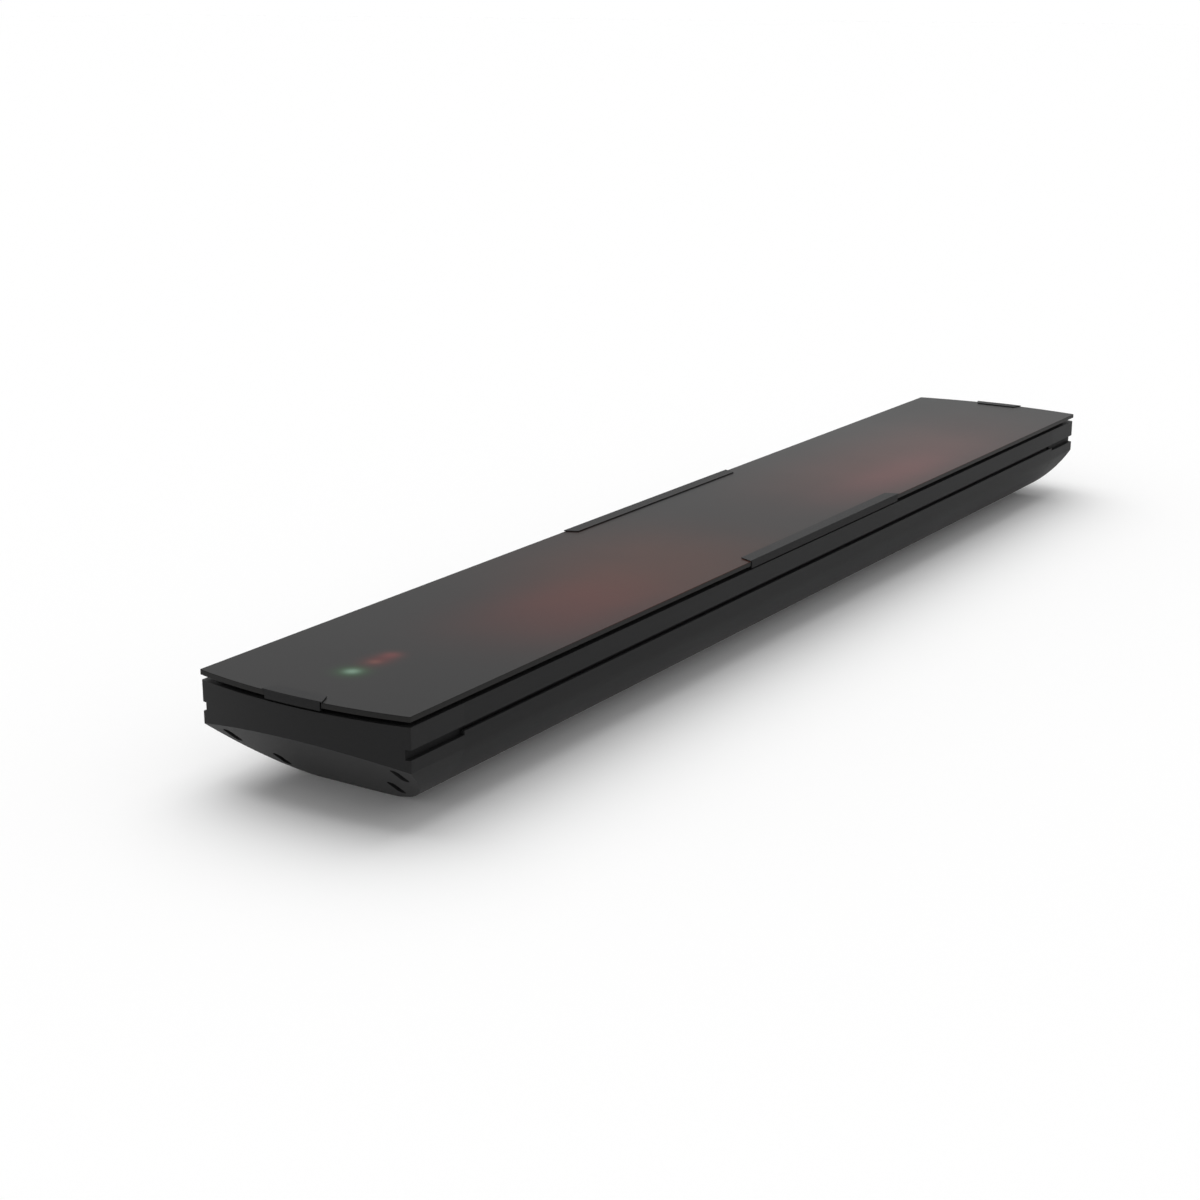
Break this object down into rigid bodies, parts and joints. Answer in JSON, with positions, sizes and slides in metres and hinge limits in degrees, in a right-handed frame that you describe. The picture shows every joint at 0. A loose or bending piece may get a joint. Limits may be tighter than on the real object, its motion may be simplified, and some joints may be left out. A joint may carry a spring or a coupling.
{
  "type": "infrared patio heater",
  "caption": "Long slim infrared patio heater: dark glass front held by clips on a curved-back extruded housing with sloping end caps, side mounting grooves and status lamps.",
  "frame": {"origin": "middle of the flat of the back, which the heater stands on", "axes": "+X along the length away from the end with the status lamps, +Y across the body to the far long side, +Z from the back to the glass"},
  "size_m": [1.2072, 0.1842, 0.085],
  "materials": {
    "front_glass": "polished dark glass-ceramic",
    "seal": "matt black",
    "clips": "satin black powder coat",
    "housing": "satin black powder coat on extruded aluminium",
    "end_caps": "satin black powder coat on cast aluminium",
    "fixings": "plain steel",
    "tray_sheet": "mill finish sheet",
    "insulation": "matt pressed board",
    "heating_ribbon": "oxidised resistance alloy",
    "white_ceramic": "semi-matt",
    "brass_parts": "plain",
    "shield_sheet": "mill finish sheet",
    "bare_aluminium": "extruded",
    "circuit_board": "green laminate",
    "black_plastic": "matt black",
    "blue_plastic": "semi-gloss",
    "green_plastic": "satin",
    "brown_sleeve": "satin",
    "white_sleeve": "satin",
    "glass_sleeve": "braided glass sleeve",
    "green_lens": "clear tinted lens",
    "red_lens": "clear tinted lens"
  },
  "bodies": {
    "root": {"glass_front": "front_glass", "glass_gasket": "seal", "side_clip_near": "clips", "side_clip_far": "clips", "end_clip_left": "clips", "end_clip_right": "clips", "clip_screws": "fixings", "housing": "housing", "end_cap_left": "end_caps", "end_cap_right": "end_caps", "cap_screws_left": "fixings", "cap_screws_right": "fixings", "element_tray_left": "tray_sheet", "element_tray_right": "tray_sheet", "insulation_left": "insulation", "insulation_right": "insulation", "heating_element_left": "heating_ribbon", "heating_element_right": "heating_ribbon", "terminals_left": "white_ceramic", "terminals_right": "white_ceramic", "terminal_studs": "brass_parts", "tray_screws": "fixings", "thermal_cutout_left": "black_plastic", "thermal_cutout_right": "black_plastic", "heat_shield_left": "shield_sheet", "heat_shield_right": "shield_sheet", "centre_bridge": "shield_sheet", "glass_pad": "insulation", "bridge_screws": "fixings", "power_plate": "shield_sheet", "power_board": "circuit_board", "relays": "blue_plastic", "heat_sink": "bare_aluminium", "capacitor": "blue_plastic", "board_connectors": "green_plastic", "earth_screw": "brass_parts", "supply_wires": "brown_sleeve", "signal_wires": "white_sleeve", "wire_saddles": "black_plastic", "element_leads": "glass_sleeve", "supply_terminal": "white_ceramic", "indicator_bracket": "shield_sheet", "indicator_board": "circuit_board", "indicator_green": "green_lens", "indicator_red": "red_lens", "remote_receiver": "black_plastic", "cable_gland": "black_plastic", "gland_nut": "black_plastic", "gland_locknut": "black_plastic"}
  },
  "joints": []
}
